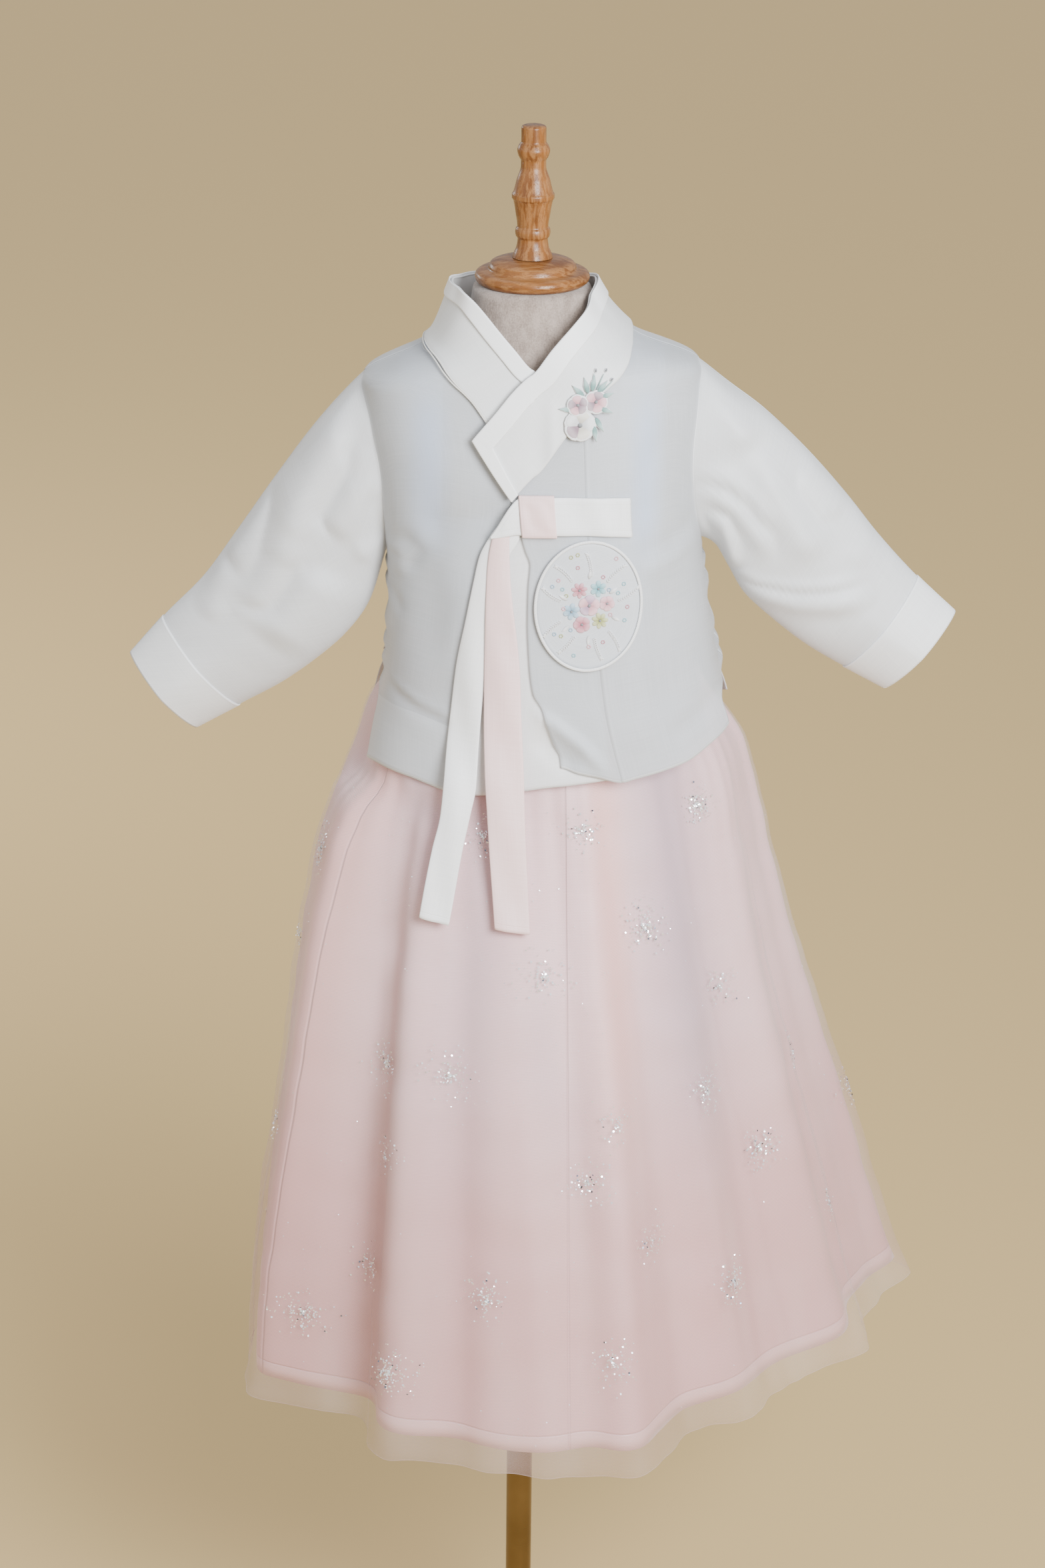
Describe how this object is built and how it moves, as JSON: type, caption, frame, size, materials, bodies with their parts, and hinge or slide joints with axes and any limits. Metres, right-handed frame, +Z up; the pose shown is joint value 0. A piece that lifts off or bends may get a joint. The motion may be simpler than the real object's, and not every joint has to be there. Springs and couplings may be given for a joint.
{
  "type": "korean hanbok on dress form",
  "caption": "Child's Korean hanbok, white crossed jacket with ribbon tie over a flared pink skirt, on a limbless dress form with a wooden neck cap, brass pole and disc base.",
  "frame": {"origin": "centre of the base's flat underside, on the floor under the pole", "axes": "+Z up along the pole, -Y out of the garment's front, +X towards the wearer's left"},
  "size_m": [0.5958, 0.4644, 1.285],
  "materials": {
    "brass": "satin",
    "neck_cloth": "matte",
    "turned_wood": "satin",
    "white_lining": "matte",
    "white_organza": "satin",
    "collar_white": "satin",
    "pink_satin": "satin",
    "glitter_tulle": "satin",
    "pink_organza": "satin",
    "satin_stitch": "satin",
    "flower_embroidery": "satin"
  },
  "bodies": {
    "root": {"base": "brass", "foot_flange": "brass", "pole": "brass", "form_socket": "brass", "form_body": "neck_cloth", "neck_cap": "turned_wood", "finial": "turned_wood", "skirt_bodice": "white_lining", "shoulder_strap_left": "white_lining", "shoulder_strap_right": "white_lining", "skirt_satin": "pink_satin", "skirt_tulle": "glitter_tulle", "jacket_back": "white_organza", "jacket_right_front": "white_organza", "jacket_inner_overlap": "white_lining", "jacket_left_front": "white_organza", "jacket_outer_overlap": "white_organza", "sleeve_left": "white_organza", "sleeve_right": "white_organza", "cuff_left": "white_lining", "cuff_right": "white_lining", "collar_outer": "collar_white", "collar_inner": "collar_white", "collar_cover_outer": "white_lining", "collar_cover_inner": "white_lining", "collar_piping": "white_organza", "ribbon_loop": "white_lining", "ribbon_wrap": "pink_organza", "ribbon_tail_white": "white_lining", "ribbon_tail_pink": "pink_organza", "medallion": "white_organza", "medallion_rim": "satin_stitch", "collar_flowers": "flower_embroidery"}
  },
  "joints": []
}
